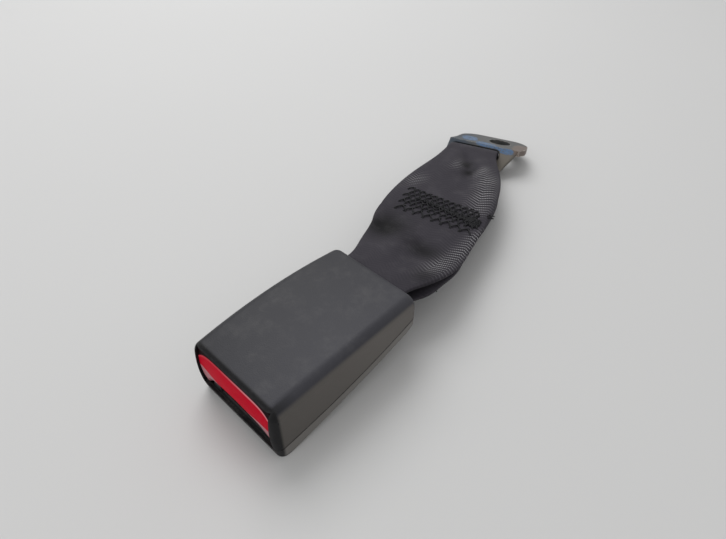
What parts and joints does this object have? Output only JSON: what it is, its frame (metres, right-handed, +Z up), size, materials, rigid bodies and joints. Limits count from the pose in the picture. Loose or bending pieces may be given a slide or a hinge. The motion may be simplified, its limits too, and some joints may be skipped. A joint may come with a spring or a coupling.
{
  "type": "seat belt buckle",
  "caption": "Push button seat belt buckle with wedge housing, latch and ejector, on a sewn webbing loop with a bent bolt-down anchor plate.",
  "frame": {"origin": "centre of the footprint, on the surface the part lies on", "axes": "+Y from the button end to the anchor plate, +Z up, +X to the right looking along +Y"},
  "size_m": [0.0754, 0.2136, 0.0269],
  "materials": {
    "black_plastic": "satin, finely grained",
    "lower_plastic": "satin",
    "red_plastic": "smooth",
    "guide_plastic": "matt",
    "frame_steel": "zinc plated",
    "spring_steel": "drawn wire",
    "ejector_plastic": "moulded",
    "webbing": "woven polyester",
    "anchor_steel": "plated, blue paint marks"
  },
  "bodies": {
    "buckle_body": {"upper_cover": "black_plastic", "lower_cover": "lower_plastic", "tongue_guide": "guide_plastic", "frame_channel": "frame_steel", "frame_top_plate": "frame_steel", "latch_pivot_pin": "frame_steel", "pivot_clip_left": "spring_steel", "pivot_clip_right": "spring_steel", "latch_spring": "spring_steel", "webbing_guard": "guide_plastic", "webbing_strap": "webbing", "button_spring_left": "spring_steel", "button_spring_right": "spring_steel", "ejector_spring": "spring_steel"},
    "button": {"release_button": "red_plastic"},
    "lock": {"lock_slider": "frame_steel", "lock_pin": "frame_steel"},
    "latch_arm": {"latch": "frame_steel"},
    "ejector_slide_body": {"ejector": "ejector_plastic"},
    "anchor": {"anchor_plate": "anchor_steel"}
  },
  "joints": [
    {"name": "button_press", "type": "slide", "parent": "buckle_body", "child": "button", "axis": [0, 0.9936, 0.1132], "range_m": [0, 0.005], "stiffness_N_per_m": 900, "springref_m": -0.003},
    {"name": "lock_slide", "type": "slide", "parent": "buckle_body", "child": "lock", "axis": [0, 0.9936, 0.1132], "range_m": [0, 0.005], "stiffness_N_per_m": 900, "springref_m": -0.003, "deforming": ["button_spring_left", "button_spring_right"]},
    {"name": "ejector_slide", "type": "slide", "parent": "buckle_body", "child": "ejector_slide_body", "axis": [0, 0.9936, 0.1132], "range_m": [0, 0.009], "stiffness_N_per_m": 700, "springref_m": -0.003, "deforming": ["ejector_spring"]},
    {"name": "latch_tilt", "type": "hinge", "parent": "buckle_body", "child": "latch_arm", "pos_m": [0.01586, -0.07425, 0.01748], "axis": [1, 0, 0], "range_deg": [0, 14.6]},
    {"name": "anchor_swing", "type": "hinge", "parent": "buckle_body", "child": "anchor", "pos_m": [-0.01301, 0.0779, 0.00674], "axis": [0.9361, 0.3518, 0], "range_deg": [-8, 3]}
  ],
  "couplings": [
    {"joint": "lock_slide", "follows": "button_press", "ratio": 1},
    {"joint": "latch_tilt", "follows": "ejector_slide", "rad_per_m": 28.2}
  ]
}
